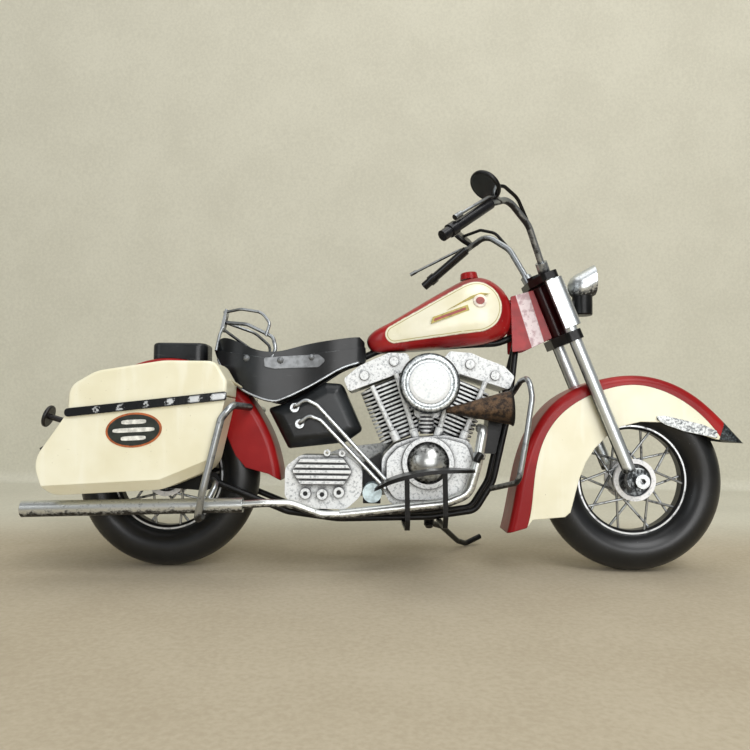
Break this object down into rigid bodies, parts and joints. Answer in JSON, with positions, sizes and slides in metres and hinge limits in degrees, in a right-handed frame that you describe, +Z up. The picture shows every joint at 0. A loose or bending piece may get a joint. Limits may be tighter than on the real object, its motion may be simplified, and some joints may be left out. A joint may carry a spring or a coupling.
{
  "type": "tin toy motorcycle",
  "caption": "Tin model of a touring motorcycle with a V engine, leather-style saddlebags, mudguards, turning handlebars and wheels, leaning on its folding side stand",
  "frame": {"origin": "centre of the bounding box on the ground, standing on its wheels and side stand", "axes": "+X ahead along the bike, +Y to the rider's left (the side it leans to), +Z up"},
  "size_m": [0.4038, 0.143, 0.2179],
  "materials": {
    "tyre_rubber": "gloss black, broad soft sheen on the sidewall",
    "black_gloss": "gloss black enamel with worn edges",
    "satin_black": "satin charcoal enamel",
    "deep_red": "gloss deep red enamel, dark at worn edges",
    "cream": "gloss cream enamel",
    "cast_silver": "bright silver with black wash in the creases",
    "pewter": "dull mottled pewter",
    "spoke_steel": "bright wire",
    "rust_brown": "rust brown with a dark flared edge",
    "grip_black": "gloss black",
    "lens_glass": "clear",
    "mirror_face": "polished",
    "lamp_red": "gloss red with bright rims"
  },
  "bodies": {
    "chassis": {"air_cleaner": "cast_silver", "bag_guards": "pewter", "cam_cover": "cast_silver", "carburettor": "cast_silver", "case_bolts": "cast_silver", "crankcase": "cast_silver", "crash_bars": "pewter", "cylinders": "cast_silver", "exhaust_pipe": "pewter", "filler_cap": "deep_red", "footboard_brackets": "black_gloss", "footboards": "black_gloss", "frame": "pewter", "fuel_tank": "deep_red", "gearbox_case": "cast_silver", "gearbox_cover": "cast_silver", "horn": "rust_brown", "luggage_pad": "satin_black", "muffler": "pewter", "oil_lines": "pewter", "oil_tank": "satin_black", "primary_cover": "cast_silver", "pushrod_tubes": "cast_silver", "rear_axle": "black_gloss", "rear_fender": "deep_red", "rocker_boxes": "cast_silver", "saddlebag_lids": "cream", "saddlebag_trims": "black_gloss", "saddlebags": "cream", "seat_pad": "satin_black", "seat_rail": "pewter", "seat_skirt": "satin_black", "seat_straps": "pewter", "starter_cap": "cast_silver", "steering_neck": "deep_red", "tail_lamps": "lamp_red", "timing_dome": "pewter"},
    "fork": {"fork_legs": "pewter", "fork_yokes": "pewter", "fork_shroud": "pewter", "headlight_shell": "pewter", "headlight_lens": "lens_glass", "headlight_cup": "black_gloss", "handlebars": "pewter", "grips": "grip_black", "mirrors": "black_gloss", "mirror_glass": "mirror_face", "front_fender_crown": "deep_red", "front_fender_sides": "cream", "fender_trims": "pewter", "front_axle": "black_gloss"},
    "front_wheel": {"front_tyre": "tyre_rubber", "front_rim": "black_gloss", "front_hub": "cast_silver", "front_spokes": "spoke_steel"},
    "rear_wheel": {"rear_tyre": "tyre_rubber", "rear_rim": "black_gloss", "rear_hub": "cast_silver", "rear_spokes": "spoke_steel"},
    "side_stand": {"side_stand": "black_gloss"}
  },
  "joints": [
    {"name": "steering", "type": "hinge", "parent": "chassis", "child": "fork", "pos_m": [0.08848, -0.00257, 0.16343], "axis": [-0.3746, 0.0647, 0.9249], "range_deg": [-22, 22]},
    {"name": "front_wheel_spin", "type": "hinge", "parent": "fork", "child": "front_wheel", "pos_m": [0.14088, -0.01037, 0.0519], "axis": [0, 0.9976, -0.0698], "continuous": true},
    {"name": "rear_wheel_spin", "type": "hinge", "parent": "chassis", "child": "rear_wheel", "pos_m": [-0.12612, -0.01037, 0.0519], "axis": [0, 0.9976, -0.0698], "continuous": true},
    {"name": "side_stand_fold", "type": "hinge", "parent": "chassis", "child": "side_stand", "pos_m": [0.02538, 0.00067, 0.02346], "axis": [0.0401, 0.5796, 0.8139], "range_deg": [0, 105]}
  ]
}
